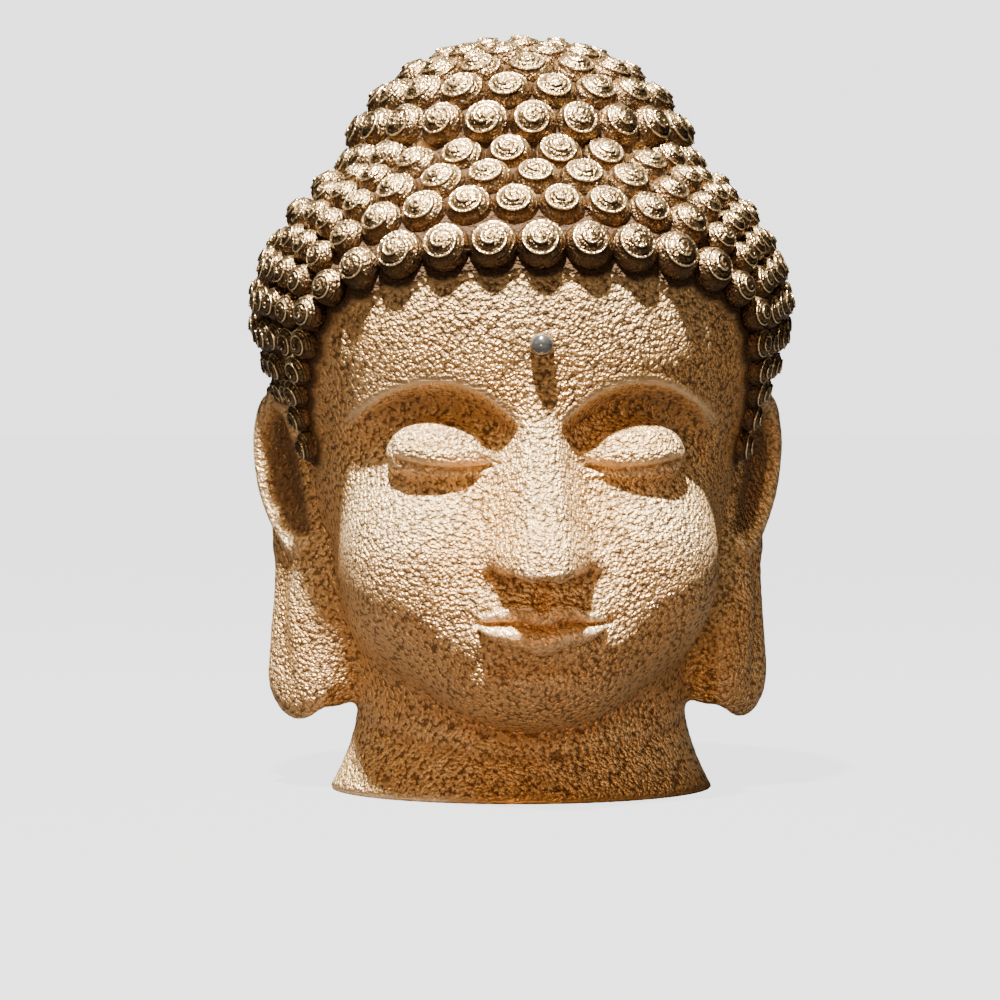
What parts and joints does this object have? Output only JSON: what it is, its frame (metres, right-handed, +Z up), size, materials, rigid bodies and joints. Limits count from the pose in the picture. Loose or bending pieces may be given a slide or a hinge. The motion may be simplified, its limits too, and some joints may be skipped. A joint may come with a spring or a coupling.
{
  "type": "resin buddha head",
  "caption": "Gilded resin head of a buddha with a top knot, snail-shell curls, long ears and a bead in the brow, cut flat below the neck so that it stands by itself.",
  "frame": {"origin": "middle of the neck on the flat underside, where the head stands", "axes": "+Z up through the top knot, face towards -Y, +X to the viewer's right"},
  "size_m": [0.3054, 0.3186, 0.4201],
  "materials": {
    "gilded_resin": "hammered antique gold over dark patina",
    "grey_bead": "smooth, glossy"
  },
  "bodies": {
    "root": {"head_casting": "gilded_resin", "forehead_bead": "grey_bead"}
  },
  "joints": []
}
